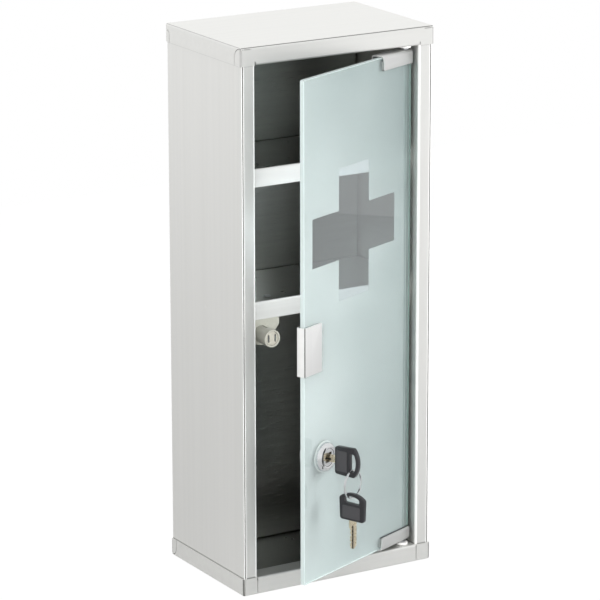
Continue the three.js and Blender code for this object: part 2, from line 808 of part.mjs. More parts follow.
function keyBlade() {
  const half = bladeHeight / 2;
  const point = bladePoint / 2;
  const top = half - bladeShoulder;
  const shoulder = plugFront - fit;
  const notches = bladeNotches.flatMap((depth, i) => {
    const y = plugFront + notchFirst + i * notchPitch;
    return [[y - depth, top], [y, top - depth], [y + depth, top]];
  });
  const outline = [
    [bowInner - bladeTang, -half],
    [bladeEnd - bladeTaper, -half],
    [bladeEnd, -point],
    [bladeEnd, point],
    [bladeEnd - bladeTaper, top],
    ...notches.reverse(),
    [shoulder, top],
    [shoulder, half],
    [bowInner - bladeTang, half],
  ];
  const shape = new THREE.Shape(outline.map(([y, z]) => new THREE.Vector2(y, z)));
  const thick = bladeThickness / 2;
  let blade = prism('x', shape, [-thick, thick]);
  for (const side of [-1, 1]) {
    const cut = side > 0 ? [thick - bladeGroove, thick + 1] : [-thick - 1, -thick + bladeGroove];
    const low = side > 0 ? 0 : -bladeGrooveHeight;
    const along = [bowInner + bladeGrooveStart, bladeEnd + 1];
    blade = blade.subtract(block(cut, along, [low, low + bladeGrooveHeight]));
  }
  return blade;
}

// Outline with a straight end of one width, slanting sides and an arched end
function archedOutline(start, startHalf, end, endHalf, rise, corner) {
  const steps = 8;
  const radius = (endHalf ** 2 + rise ** 2) / (2 * rise);
  const spread = Math.asin(endHalf / radius);
  const corners = [[start, -startHalf], [start, startHalf]];
  for (let i = 0; i <= steps; i += 1) {
    const turn = spread * (1 - (2 * i) / steps);
    corners.push([end + radius * (1 - Math.cos(turn)), radius * Math.sin(turn)]);
  }
  return softOutline(corners, corner, 2);
}

function keyBow() {
  const thick = bowThickness / 2;
  const outline = archedOutline(bowInner, bowNeck / 2, bowOuter, bowWidth / 2, bowArch, bowCorner);
  const slotHalf = slotLength / 2;
  const slot = archedOutline(slotInner, slotHalf, slotOuter, slotHalf, slotArch, slotCorner);
  const panel = softRectangle(
    [slotInner + panelMargin, bowInner - panelMargin],
    [-bowNeck / 2 + panelInset, bowNeck / 2 - panelInset],
    panelCorner,
  );
  const pocketWide = bladeThickness / 2 + fit;
  const pocketTall = bladeHeight / 2 + fit;
  return prism('x', outline, [-thick, thick], bowEdge)
    .add(prism('x', panel, [-thick - bowPanel, thick + bowPanel]))
    .subtract(prism('x', slot, [-bowThickness, bowThickness]))
    .subtract(block(
      [-pocketWide, pocketWide],
      [bowInner - bladeTang - fit, bowInner + 1],
      [-pocketTall, pocketTall],
    ));
}

const inLock = new THREE.Matrix4().makeTranslation(lockX, 0, lockMiddle);
const hanging = new THREE.Matrix4().makeRotationX(-Math.PI / 2);
hanging.setPosition(lockX, ringY, spareSlotTop + slotOuter);

function keyRing() {
  const geometry = new THREE.TorusGeometry(ringRadius, ringWire, 8, 56);
  geometry.rotateX(Math.PI / 2);
  geometry.translate(lockX, ringY, ringMiddle);
  return toSolid(geometry);
}

// Magnetic catch

const catchFace = pivotY + handleHalf + catchGap;
const catchBack = frontY + shelfSetback + sheet + fit;
const catchTop = lowerShelfTop - sheet - fit;
const insertFront = catchFace + insertInset;
const boreEnd = catchBack - fit;

function rivetPlace(side) {
  const back = frontY + shelfSetback + sheet + fit;
  return [catchX + (side * rivetSpread) / 2, back + catchPlate + (catchFlangeDepth - catchPlate) / 2];
}

// Plate whose sides run in to the round of the barrel, a flange under the shelf, and the barrel
function catchBracket() {
  const half = catchPlateWidth / 2;
  const low = catchShoulder;
  const reach = Math.hypot(half, low);
  const swing = Math.atan2(low, half) - Math.acos(catchPlateRound / reach);
  const shape = new THREE.Shape();
  shape.moveTo(-half, catchTop - catchZ);
  shape.lineTo(-half, low);
  shape.absarc(0, 0, catchPlateRound, Math.PI - swing, 2 * Math.PI + swing, false);
  shape.lineTo(half, low);
  shape.lineTo(half, catchTop - catchZ);
  shape.closePath();
  const plate = moved(
    prism('y', shape, [catchBack, catchBack + catchPlate]),
    new THREE.Matrix4().makeTranslation(catchX, 0, catchZ),
  );
  const flange = block(
    [catchX - half, catchX + half],
    [catchBack, catchBack + catchFlangeDepth],
    [catchTop - catchPlate, catchTop],
  );
  let bracket = plate
    .add(flange)
    .add(rodY(catchBarrel, [catchFace, catchBack + catchPlate / 2], catchX, catchZ, 40))
    .subtract(rodY(catchBarrel - catchWall, [catchFace - 1, boreEnd], catchX, catchZ, 40));
  for (const side of [-1, 1]) {
    const [x, y] = rivetPlace(side);
    bracket = bracket.subtract(rodZ(rivetRadius + fit, [catchTop - 2 * catchPlate, catchTop + 1], x, y, 16));
  }
  const slotY = [boreEnd - catchSlotLength, boreEnd];
  const slotZ = [catchZ, catchZ + 2 * catchBarrel];
  return bracket.subtract(block([catchX - catchSlot / 2, catchX + catchSlot / 2], slotY, slotZ));
}

const poleInner = magnetThickness / 2 + fit;
const poleOuter = poleInner + poleThickness;
const poleFront = insertFront;

// Round core with a cavity for the magnet that opens to the face in two slits
function catchInsert() {
  const tall = poleHeight / 2 + fit;
  const z = [catchZ - tall, catchZ + tall];
  const cavity = [insertFront + insertFace, poleFront + poleLength + fit];
  let core = rodY(catchBarrel - catchWall - fit, [insertFront, boreEnd - fit], catchX, catchZ, 40)
    .subtract(block([catchX - poleOuter - fit, catchX + poleOuter + fit], cavity, z));
  for (const side of [-1, 1]) {
    const a = catchX + side * (poleInner - fit);
    const b = catchX + side * (poleOuter + fit);
    core = core.subtract(block([Math.min(a, b), Math.max(a, b)], [insertFront - 1, cavity[1]], z));
  }
  return core;
}

function catchPole(side) {
  const a = catchX + side * poleInner;
  const b = catchX + side * poleOuter;
  const z = [catchZ - poleHeight / 2, catchZ + poleHeight / 2];
  return block([Math.min(a, b), Math.max(a, b)], [poleFront, poleFront + poleLength], z);
}

function catchMagnet() {
  const half = magnetThickness / 2;
  const z = [catchZ - poleHeight / 2, catchZ + poleHeight / 2];
  return block([catchX - half, catchX + half], [insertFront + insertFace + fit, poleFront + poleLength], z);
}

// Rivet with a low dome above the shelf and a flat tail under the flange
function catchRivet(side) {
  const [x, y] = rivetPlace(side);
  const low = catchTop - catchPlate - fit;
  const high = lowerShelfTop + fit;
  return turnedZ([
    [0, low - rivetDome],
    [rivetTail, low - rivetDome],
    [rivetTail, low],
    [rivetRadius, low],
    [rivetRadius, high],
    [rivetHead, high],
    [rivetCurve, high + rivetShoulder],
    [rivetCrown, high + rivetDome],
    [0, high + rivetDome],
  ], x, y, 20);
}

// Looks of the materials
const looks = {
  steel: { color: 0xd9d9d5, roughness: 0.34, metalness: 0.9 },
  steelInside: { color: 0xc4c5c2, roughness: 0.4, metalness: 0.9 },
  glass: { color: 0xc9dcdc, roughness: 0.35, metalness: 0, transparent: true, opacity: 0.6 },
  chrome: { color: 0xe2e3e4, roughness: 0.12, metalness: 1 },
  zinc: { color: 0xb7b9ba, roughness: 0.4, metalness: 0.9 },
  nickel: { color: 0xcfc6ae, roughness: 0.3, metalness: 0.9 },
  rubber: { color: 0x2b2d2e, roughness: 0.8, metalness: 0 },
  nylon: { color: 0xf2f2ee, roughness: 0.5, metalness: 0 },
  ivory: { color: 0xe9e0cf, roughness: 0.45, metalness: 0 },
  black: { color: 0x35363b, roughness: 0.45, metalness: 0 },
  magnet: { color: 0x3a3937, roughness: 0.6, metalness: 0.3 },
};

const cabinet = new THREE.Group();
cabinet.name = 'medicine_cabinet';

function add(name, solid, look) {
  const material = new THREE.MeshStandardMaterial(looks[look]);
  const mesh = new THREE.Mesh(toGeometry(solid), material);
  mesh.name = name;
  cabinet.add(mesh);
}

// Door pieces swing out by the door's angle about the pivot
const swing = new THREE.Matrix4().makeRotationZ(THREE.MathUtils.degToRad(doorAngle));
swing.setPosition(pivotX, pivotY, 0);

function addOnDoor(name, solid, look) {
  add(name, moved(solid, swing), look);
}

add('left_side_panel', sidePanel(-1), 'steel');
add('right_side_panel', sidePanel(1), 'steel');
add('back_panel', backPanel(), 'steelInside');
add('top_cap', topCap(), 'steel');
add('bottom_tray', bottomTray(), 'steel');
add('upper_shelf', shelf(upperShelfTop), 'steel');
add('lower_shelf', lowerShelf(), 'steel');

addOnDoor('door_glass', doorGlass(), 'glass');
addOnDoor('door_handle', handleClip(), 'steel');
addOnDoor('handle_pad', handlePad(), 'rubber');

const atPivot = new THREE.Matrix4().makeTranslation(pivotX, pivotY, 0);
for (const [end, place] of [['top', (solid) => solid], ['bottom', turnedOver]]) {
  addOnDoor(`${end}_hinge_clip`, place(hingeClip()), 'steel');
  addOnDoor(`${end}_hinge_liner`, place(hingeLiner()), 'rubber');
  addOnDoor(`${end}_press_plate`, place(hingePressPlate()), 'zinc');
  addOnDoor(`${end}_grub_outer`, place(hingeGrub(grubPlaces[0])), 'zinc');
  addOnDoor(`${end}_grub_inner`, place(hingeGrub(grubPlaces[1])), 'zinc');
  addOnDoor(`${end}_pivot_pin`, place(hingePin()), 'zinc');
  add(`${end}_pivot_bush`, moved(place(hingeBush()), atPivot), 'nylon');
}

const washerFront = glassHalf + fit;
addOnDoor('lock_body', lockBody(), 'chrome');
addOnDoor('lock_gasket', ringPlate(gasketRadius, [gasketFront, gasketFront + gasket]), 'nylon');
addOnDoor('lock_washer', ringPlate(rearWasherRadius, [washerFront, washerFront + rearWasher]), 'zinc');
addOnDoor('lock_nut', lockNut(), 'zinc');
addOnDoor('lock_plug', lockPlug(), 'zinc');
addOnDoor('lock_cam', lockCam(), 'zinc');
addOnDoor('cam_screw', camScrew(), 'zinc');

addOnDoor('key_blade', moved(keyBlade(), inLock), 'nickel');
addOnDoor('key_bow', moved(keyBow(), inLock), 'black');
addOnDoor('key_ring', keyRing(), 'chrome');
addOnDoor('spare_key_blade', moved(keyBlade(), hanging), 'nickel');
addOnDoor('spare_key_bow', moved(keyBow(), hanging), 'black');

add('catch_bracket', catchBracket(), 'ivory');
add('catch_insert', catchInsert(), 'ivory');
add('catch_magnet', catchMagnet(), 'magnet');
add('catch_pole_left', catchPole(-1), 'zinc');
add('catch_pole_right', catchPole(1), 'zinc');
add('catch_rivet_left', catchRivet(-1), 'zinc');
add('catch_rivet_right', catchRivet(1), 'zinc');

export default cabinet;
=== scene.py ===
import json
import math

import bpy
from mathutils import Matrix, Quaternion, Vector

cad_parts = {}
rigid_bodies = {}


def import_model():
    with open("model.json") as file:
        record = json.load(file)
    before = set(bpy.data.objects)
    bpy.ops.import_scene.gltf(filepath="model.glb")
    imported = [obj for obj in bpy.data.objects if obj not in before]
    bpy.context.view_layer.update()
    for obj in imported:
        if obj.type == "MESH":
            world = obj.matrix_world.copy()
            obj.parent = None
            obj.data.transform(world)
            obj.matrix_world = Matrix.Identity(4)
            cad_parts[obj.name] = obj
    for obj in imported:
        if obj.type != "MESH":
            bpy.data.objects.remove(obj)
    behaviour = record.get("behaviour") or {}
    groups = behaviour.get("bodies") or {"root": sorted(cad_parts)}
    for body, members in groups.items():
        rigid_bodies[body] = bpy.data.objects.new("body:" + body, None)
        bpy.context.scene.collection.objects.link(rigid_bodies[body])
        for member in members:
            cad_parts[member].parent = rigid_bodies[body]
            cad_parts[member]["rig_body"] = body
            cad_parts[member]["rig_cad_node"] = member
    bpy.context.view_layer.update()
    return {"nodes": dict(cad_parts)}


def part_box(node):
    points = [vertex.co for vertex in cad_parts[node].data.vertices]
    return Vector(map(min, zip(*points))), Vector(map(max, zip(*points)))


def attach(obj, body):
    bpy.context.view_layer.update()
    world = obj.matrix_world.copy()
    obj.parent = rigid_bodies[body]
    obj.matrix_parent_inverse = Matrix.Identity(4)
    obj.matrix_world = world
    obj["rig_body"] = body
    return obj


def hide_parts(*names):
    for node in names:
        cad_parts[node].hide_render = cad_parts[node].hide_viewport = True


# wall cabinet in folded stainless sheet with a frosted glass door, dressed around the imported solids
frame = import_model()
nodes = frame["nodes"]
bpy.ops.object.select_all(action="DESELECT")
print("frame loaded:", len(nodes), "solids")

mm = 0.001
# limits of the pane in mm: across and inward from its pivot, up from the floor
door = {"pivot": Vector((66.9 * mm, -51.5 * mm, 0)), "angle": math.radians(23),
        "left": -139.5, "right": 6.5, "low": 19.3, "high": 430.2, "rim": 0.5,
        "groundDepth": 1.8, "slack": 0.05}
doorAcross = Vector((math.cos(door["angle"]), math.sin(door["angle"]), 0))
doorInward = Vector((-math.sin(door["angle"]), math.cos(door["angle"]), 0))


def onDoor(point):
    away = point - door["pivot"]
    return away.dot(doorAcross) / mm, away.dot(doorInward) / mm, point.z / mm


# node trees
def newFinish(name):
    finish = bpy.data.materials.new(name)
    finish.use_nodes = True
    tree = finish.node_tree
    return finish, tree, tree.nodes["Principled BSDF"]


def addNode(tree, kind, **values):
    node = tree.nodes.new(kind)
    for key, value in values.items():
        setattr(node, key, value)
    return node


def objectPlace(tree, scale=(1, 1, 1)):
    coords = addNode(tree, "ShaderNodeTexCoord")
    mapping = addNode(tree, "ShaderNodeMapping")
    mapping.inputs["Scale"].default_value = scale
    tree.links.new(coords.outputs["Object"], mapping.inputs["Vector"])
    return mapping.outputs["Vector"]


def placeAlong(tree, vector, axis):
    node = addNode(tree, "ShaderNodeSeparateXYZ")
    tree.links.new(vector, node.inputs[0])
    return node.outputs[axis]


def noise(tree, vector, scale=1.0, detail=2.0, rough=0.5):
    node = addNode(tree, "ShaderNodeTexNoise")
    node.inputs["Scale"].default_value = scale
    node.inputs["Detail"].default_value = detail
    node.inputs["Roughness"].default_value = rough
    tree.links.new(vector, node.inputs["Vector"])
    return node.outputs["Fac"]


def spread(tree, value, low, high, fromLow=0.3, fromHigh=0.7):
    node = addNode(tree, "ShaderNodeMapRange")
    for socket, number in zip(("From Min", "From Max", "To Min", "To Max"), (fromLow, fromHigh, low, high)):
        node.inputs[socket].default_value = number
    tree.links.new(value, node.inputs["Value"])
    return node.outputs["Result"]


def reckon(tree, operation, *values):
    node = addNode(tree, "ShaderNodeMath", operation=operation)
    for socket, value in zip(node.inputs, values):
        if isinstance(value, bpy.types.NodeSocket):
            tree.links.new(value, socket)
        else:
            socket.default_value = value
    return node.outputs[0]


def mixColours(tree, share):
    node = addNode(tree, "ShaderNodeMix", data_type="RGBA")
    tree.links.new(share, node.inputs["Factor"])
    under, over = [socket for socket in node.inputs if socket.type == "RGBA"]
    mixed = next(socket for socket in node.outputs if socket.type == "RGBA")
    return under, over, mixed


def blendColours(tree, share, dark, light):
    under, over, mixed = mixColours(tree, share)
    under.default_value = (*dark, 1)
    over.default_value = (*light, 1)
    return mixed


def shadeOver(tree, colour, share, shade):
    under, over, mixed = mixColours(tree, share)
    tree.links.new(colour, under)
    over.default_value = (*shade, 1)
    return mixed


def bumpFrom(tree, shader, height, strength, distance):
    node = addNode(tree, "ShaderNodeBump")
    node.inputs["Strength"].default_value = strength
    node.inputs["Distance"].default_value = distance
    tree.links.new(height, node.inputs["Height"])
    tree.links.new(node.outputs["Normal"], shader.inputs["Normal"])


# brushed sheet: a dark and a light tone in streaks, fine hairlines in the roughness
steelLook = {"dark": (0.87, 0.87, 0.85), "light": (0.89, 0.89, 0.87), "rough": (0.54, 0.61), "metal": 1.0}
handleLook = {"dark": (0.91, 0.91, 0.905), "light": (0.94, 0.94, 0.935), "rough": (0.48, 0.56), "metal": 1.0}
clipLook = {"dark": (0.71, 0.715, 0.71), "light": (0.74, 0.745, 0.74), "rough": (0.5, 0.58), "metal": 1.0}
# painted highlight: a lighter, less metallic copy of the sheet for edges and bends that catch the light
highlightLook = {"dark": (0.89, 0.89, 0.875), "light": (0.92, 0.92, 0.905), "rough": (0.45, 0.55), "metal": 0.2}
shelfLook = {"dark": (0.64, 0.64, 0.625), "light": (0.67, 0.67, 0.655), "rough": (0.45, 0.55), "metal": 0.2}
# painted shade: a duller mill finish for the inside of the cabinet, darkened as shade
shadedInsideLook = {"dark": (0.345, 0.34, 0.322), "light": (0.37, 0.365, 0.346), "rough": (0.27, 0.32),
              "metal": 1.0}
# painted shade: darker copies of the sheet for the folds, darkest in the creases
shadedFoldLook = {"dark": (0.60, 0.60, 0.588), "light": (0.66, 0.66, 0.648), "rough": (0.42, 0.52), "metal": 1.0}
shadedCreaseLook = {"dark": (0.26, 0.26, 0.253), "light": (0.31, 0.31, 0.303), "rough": (0.5, 0.6), "metal": 1.0}

# scales of the hairlines and of the streaks, small along the brushing
upGrain = ((7000, 7000, 50), (220, 220, 3))
acrossGrain = ((50, 7000, 7000), (3, 220, 220))
levelGrain = ((50, 50, 7000), (4, 4, 260))
fineDepth = 0.00003  # bump depths in metres
mouldedDepth = 0.00005

# painted shade where two sheets meet: height in mm where it starts, where it is full, and its share
seamShading = {"colour": (0.05, 0.05, 0.048), "seams": [(15.6, 14.9, 0.45), (434.0, 435.0, 0.3)]}


def shadeSeam(tree, colour, seam):
    start, full, amount = seam
    height = placeAlong(tree, objectPlace(tree), "Z")
    share = spread(tree, height, 0, amount, start * mm, full * mm)
    return shadeOver(tree, colour, share, seamShading["colour"])


def makeSteel(name, look, fine, streak, seams=(), bump=0.08):
    finish, tree, shader = newFinish(name)
    hair = noise(tree, objectPlace(tree, fine), detail=3.0, rough=0.6)
    band = noise(tree, objectPlace(tree, streak))
    colour = blendColours(tree, spread(tree, band, 0, 1), look["dark"], look["light"])
    for seam in seams:
        colour = shadeSeam(tree, colour, seam)
    tree.links.new(colour, shader.inputs["Base Color"])
    tree.links.new(spread(tree, hair, *look["rough"]), shader.inputs["Roughness"])
    bumpFrom(tree, shader, hair, bump, fineDepth)
    shader.inputs["Metallic"].default_value = look["metal"]
    return finish


# glass: tones, roughness, and the share of light that goes through
frostLook = {"dark": (0.115, 0.171, 0.169), "light": (0.4525, 0.5125, 0.51), "rough": (0.55, 0.66),
             "through": 0.2}
edgeLook = {"dark": (0.70, 0.785, 0.775), "light": (0.76, 0.845, 0.835), "rough": (0.35, 0.5),
            "through": 0.2}
# painted shade: a darker copy of the ground edge for the hinge side
shadedEdgeLook = {"dark": (0.10, 0.19, 0.165), "light": (0.14, 0.24, 0.21), "rough": (0.4, 0.55), "through": 0.1}
crossLook = {"dark": (0.55, 0.69, 0.75), "light": (0.57, 0.71, 0.77), "rough": (0.0, 0.02), "through": 0.96}
clearLook = {"dark": (0.97, 0.99, 0.985), "light": (0.985, 1.0, 0.995), "rough": (0.0, 0.02),
             "through": 0.93}
glassSet = {"index": 1.5, "cloudScale": 12}

# painted light and shade on the frosted face, lighter at the free edge and darker towards the hinges and the
# top, with a random cloud: shares of its light tone
paneShading = {"free": 0.885, "hinged": 0.346, "top": -0.32, "topStart": 290.0, "cloud": 0.077}
# painted reflection: fine dark green lines near the hinge edge stand for the far edge seen through the face:
# mm in from the edge, width, share
paintedEdgeLines = {"colour": (0.05, 0.10, 0.09), "lines": [(5.4, 1.6, 0.45), (2.2, 1.8, 0.65)],
            "core": 0.3, "fade": 0.5}


def acrossDoor(tree):
    coords = addNode(tree, "ShaderNodeTexCoord")
    mapping = addNode(tree, "ShaderNodeMapping")
    mapping.inputs["Rotation"].default_value = (0, 0, -door["angle"])
    mapping.inputs["Location"].default_value = (-doorAcross.dot(door["pivot"]), 0, 0)
    tree.links.new(coords.outputs["Object"], mapping.inputs["Vector"])
    return placeAlong(tree, mapping.outputs["Vector"], "X")


def shadeAcrossPane(tree, across, cloud):
    left, right = door["left"] * mm, door["right"] * mm
    sideways = spread(tree, across, paneShading["free"], paneShading["hinged"], left, right)
    height = placeAlong(tree, objectPlace(tree), "Z")
    upwards = spread(tree, height, 0, paneShading["top"], paneShading["topStart"] * mm, door["high"] * mm)
    patchy = spread(tree, cloud, -paneShading["cloud"], paneShading["cloud"])
    return reckon(tree, "ADD", reckon(tree, "ADD", sideways, upwards), patchy)


def paintEdgeLine(tree, colour, across, line):
    inset, width, amount = line
    away = reckon(tree, "ABSOLUTE", reckon(tree, "SUBTRACT", across, (door["right"] - inset) * mm))
    share = spread(tree, away, amount, 0, width * paintedEdgeLines["core"] * mm, width * paintedEdgeLines["fade"] * mm)
    return shadeOver(tree, colour, share, paintedEdgeLines["colour"])


def makeGlass(name, look, grain, bump=0.0, lines=()):
    finish, tree, shader = newFinish(name)
    speck = noise(tree, objectPlace(tree), grain, rough=0.6)
    cloud = noise(tree, objectPlace(tree), glassSet["cloudScale"])
    if lines:
        across = acrossDoor(tree)
        share = shadeAcrossPane(tree, across, cloud)
    else:
        share = spread(tree, cloud, 0, 1)
    colour = blendColours(tree, share, look["dark"], look["light"])
    for line in lines:
        colour = paintEdgeLine(tree, colour, across, line)
    tree.links.new(colour, shader.inputs["Base Color"])
    tree.links.new(spread(tree, speck, *look["rough"]), shader.inputs["Roughness"])
    if bump:
        bumpFrom(tree, shader, speck, bump, fineDepth)
    shader.inputs["Transmission Weight"].default_value = look["through"]
    shader.inputs["IOR"].default_value = glassSet["index"]
    return finish


# mouldings, plating and rubber, speckled in tone and roughness
rubberLook = {"dark": (0.03, 0.032, 0.033), "light": (0.06, 0.062, 0.064), "rough": (0.6, 0.8), "metal": 0.0}
zincLook = {"dark": (0.5, 0.51, 0.52), "light": (0.62, 0.63, 0.64), "rough": (0.25, 0.42), "metal": 1.0}
# painted shade: brassy metal darkened for the hollow of the plug
shadedPlugLook = {"dark": (0.20, 0.19, 0.17), "light": (0.34, 0.32, 0.28), "rough": (0.25, 0.4), "metal": 1.0}
nylonLook = {"dark": (0.82, 0.82, 0.80), "light": (0.88, 0.88, 0.86), "rough": (0.35, 0.5), "metal": 0.0}
chromeLook = {"dark": (0.66, 0.67, 0.68), "light": (0.74, 0.75, 0.76), "rough": (0.05, 0.11), "metal": 1.0}
nickelLook = {"dark": (0.62, 0.54, 0.38), "light": (0.80, 0.72, 0.56), "rough": (0.2, 0.35), "metal": 1.0}
bowLook = {"dark": (0.01, 0.01, 0.012), "light": (0.02, 0.02, 0.023), "rough": (0.26, 0.38), "metal": 0.0}
panelLook = {"dark": (0.045, 0.044, 0.048), "light": (0.065, 0.064, 0.068), "rough": (0.4, 0.52),
             "metal": 0.0}
gasketLook = {"dark": (0.52, 0.58, 0.57), "light": (0.58, 0.64, 0.63), "rough": (0.4, 0.55), "metal": 0.0}
bracketLook = {"dark": (0.43, 0.425, 0.37), "light": (0.46, 0.455, 0.40), "rough": (0.3, 0.42), "metal": 0.0}
ivoryLook = {"dark": (0.47, 0.45, 0.385), "light": (0.50, 0.48, 0.42), "rough": (0.3, 0.42), "metal": 0.0}
# painted shadow: near black for the corner seam, the crease of the handle and the grooves of the blades
seamShadowLook = {"dark": (0.03, 0.03, 0.03), "light": (0.06, 0.06, 0.058), "rough": (0.5, 0.7), "metal": 0.6}
magnetLook = {"dark": (0.03, 0.03, 0.03), "light": (0.06, 0.06, 0.055), "rough": (0.5, 0.7), "metal": 0.0}


def makePlain(name, look, grain, bump=0.1, depth=fineDepth):
    finish, tree, shader = newFinish(name)
    speck = noise(tree, objectPlace(tree), grain, detail=3.0, rough=0.6)
    colour = blendColours(tree, spread(tree, speck, 0, 1), look["dark"], look["light"])
    tree.links.new(colour, shader.inputs["Base Color"])
    tree.links.new(spread(tree, speck, *look["rough"]), shader.inputs["Roughness"])
    bumpFrom(tree, shader, speck, bump, depth)
    shader.inputs["Metallic"].default_value = look["metal"]
    return finish


finishes = {
    "uprightSteel": makeSteel("uprightSteel", steelLook, *upGrain, seams=seamShading["seams"]),
    "handleSteel": makeSteel("handleSteel", handleLook, *upGrain),
    "clipSteel": makeSteel("clipSteel", clipLook, *levelGrain),
    "panSteel": makeSteel("panSteel", steelLook, *acrossGrain),
    "levelSteel": makeSteel("levelSteel", steelLook, *levelGrain),
    "lipSteel": makeSteel("lipSteel", highlightLook, *levelGrain),
    "shelfSteel": makeSteel("shelfSteel", shelfLook, *levelGrain),
    "insideSteel": makeSteel("insideSteel", shadedInsideLook, *levelGrain, bump=0.02),
    "foldSteel": makeSteel("foldSteel", shadedFoldLook, *acrossGrain),
    "creaseSteel": makeSteel("creaseSteel", shadedCreaseLook, *acrossGrain),
    "frost": makeGlass("frostedFace", frostLook, grain=2600, bump=0.15, lines=paintedEdgeLines["lines"]),
    "edge": makeGlass("groundEdge", edgeLook, grain=1800, bump=0.1),
    "deepEdge": makeGlass("deepEdge", shadedEdgeLook, grain=1800, bump=0.1),
    "clear": makeGlass("clearGlass", clearLook, grain=30),
    "cross": makeGlass("crossGlass", crossLook, grain=30),
    "rubber": makePlain("blackRubber", rubberLook, grain=2500),
    "zinc": makePlain("zincPlate", zincLook, grain=900),
    "plug": makePlain("plugMetal", shadedPlugLook, grain=700),
    "nylon": makePlain("whiteNylon", nylonLook, grain=1200),
    "chrome": makePlain("chromePlate", chromeLook, grain=300, bump=0.02),
    "nickel": makePlain("nickelBrass", nickelLook, grain=800),
    "bow": makePlain("blackMoulding", bowLook, grain=2200, bump=0.25, depth=mouldedDepth),
    "bowPanel": makePlain("panelMoulding", panelLook, grain=2600, bump=0.3, depth=mouldedDepth),
    "gasket": makePlain("softGasket", gasketLook, grain=1200),
    "bracket": makePlain("paleMoulding", bracketLook, grain=700),
    "ivory": makePlain("ivoryMoulding", ivoryLook, grain=700),
    "seam": makePlain("seamShade", seamShadowLook, grain=900),
    "magnet": makePlain("ferriteBlock", magnetLook, grain=1500),
}

# what isn't listed is zinc plated
nodeFinish = {
    "left_side_panel": "uprightSteel", "right_side_panel": "uprightSteel", "back_panel": "levelSteel",
    "top_cap": "panSteel", "bottom_tray": "panSteel",
    "upper_shelf": "shelfSteel", "lower_shelf": "shelfSteel",
    "door_handle": "handleSteel", "top_hinge_clip": "clipSteel", "bottom_hinge_clip": "clipSteel",
    "handle_pad": "rubber", "top_hinge_liner": "rubber", "bottom_hinge_liner": "rubber",
    "top_pivot_bush": "nylon", "bottom_pivot_bush": "nylon", "lock_gasket": "gasket",
    "lock_body": "chrome", "lock_plug": "chrome", "key_ring": "chrome", "key_blade": "nickel",
    "spare_key_blade": "nickel", "key_bow": "bow", "spare_key_bow": "bow", "catch_bracket": "bracket",
    "catch_insert": "ivory", "catch_magnet": "magnet", "door_glass": "clear",
}
for name, node in nodes.items():
    node.data.materials.clear()
    node.data.materials.append(finishes[nodeFinish.get(name, "zinc")])


def paintFaces(name, finish, chosen):
    mesh = nodes[name].data
    mesh.materials.append(finishes[finish])
    place = len(mesh.materials) - 1
    for face in mesh.polygons:
        if chosen(face.center, face.normal):
            face.material_index = place


# how far a face's normal has to point along a direction
flat = 0.99
square = 0.9
turned = 0.5
leaning = 0.25

# mill finish inside the cabinet darkened as painted shade, and painted shade on the folds of the cap and at
# the tray's corners
shell = {"wall": 80 * mm, "floor": 3 * mm, "ceiling": 445 * mm, "ear": 84 * mm, "corner": 85.5 * mm}


def isTopFold(at, way):
    return turned < way.z < square and at.z > shell["ceiling"]


def isCornerFold(at, way):
    return abs(way.x) > leaning and abs(way.y) > leaning


paintFaces("left_side_panel", "insideSteel", lambda at, way: way.x > turned and at.x < -shell["wall"])
paintFaces("right_side_panel", "insideSteel", lambda at, way: way.x < -turned and at.x > shell["wall"])
paintFaces("back_panel", "insideSteel", lambda at, way: way.y < -turned)
paintFaces("bottom_tray", "insideSteel", lambda at, way: way.z > turned and at.z < shell["floor"])
paintFaces("top_cap", "insideSteel", lambda at, way: way.z < -turned and at.z > shell["ceiling"])
paintFaces("top_cap", "foldSteel", isTopFold)
paintFaces("top_cap", "creaseSteel", lambda at, way: isTopFold(at, way) and way.y < -turned)
paintFaces("top_cap", "foldSteel", isCornerFold)
paintFaces("bottom_tray", "creaseSteel", lambda at, way: isCornerFold(at, way) and abs(at.x) > shell["ear"])

# painted shade in the corner seam between two painted highlights on its edges, wider on the left, and a
# painted highlight on the bend at the doorway
seamSet = {"panels": ((-1, "left_side_panel", 0.5), (1, "right_side_panel", 0.7)),
           "edge": 0.8, "front": 0.1, "bend": 0.15}
for side, panel, outward in seamSet["panels"]:
    paintFaces(panel, "lipSteel", lambda at, way: way.y < -seamSet["edge"] and abs(at.x) > shell["corner"])
    paintFaces(panel, "seam", lambda at, way: way.x * side > outward and way.y < -seamSet["front"])
    paintFaces(panel, "lipSteel", lambda at, way: max(way.x * side, way.y) < -seamSet["bend"])
# the shelves get the painted inner shade on every face but their front lips
for shelfName in ("upper_shelf", "lower_shelf"):
    paintFaces(shelfName, "insideSteel", lambda at, way: way.y > -turned)


# frosted inner face round a lightly tinted cross, ground edges, a clear front face
def isGround(at, way):
    return way.dot(doorInward) > flat and abs(onDoor(at)[1] - door["groundDepth"]) < door["slack"]


def isCross(at, way):
    return way.dot(doorInward) > flat and not isGround(at, way)


def isEdge(at, way):
    x, y, z = onDoor(at)
    nearest = min(x - door["left"], door["right"] - x, z - door["low"], door["high"] - z)
    return nearest < door["rim"] and abs(way.dot(doorInward)) < square


paintFaces("door_glass", "frost", isGround)
paintFaces("door_glass", "cross", isCross)
paintFaces("door_glass", "edge", isEdge)
# the edges on the hinge side are painted dark green as shade
paintFaces("door_glass", "deepEdge", lambda at, way: isEdge(at, way) and onDoor(at)[0] > 0)
nodes["door_glass"].visible_shadow = False  # daylight passes the etching and reaches the shelves

# pressed crease of the handle, painted dark as shade, in mm on the door
crease = {"left": -141.4, "right": -140.1, "bottom": -3.9, "back": -3.3}


def isCrease(at, way):
    x, y, z = onDoor(at)
    sunk = abs(way.dot(doorAcross)) > square or (way.dot(doorInward) < -square and y > crease["bottom"])
    return sunk and y < crease["back"] and crease["left"] < x < crease["right"]


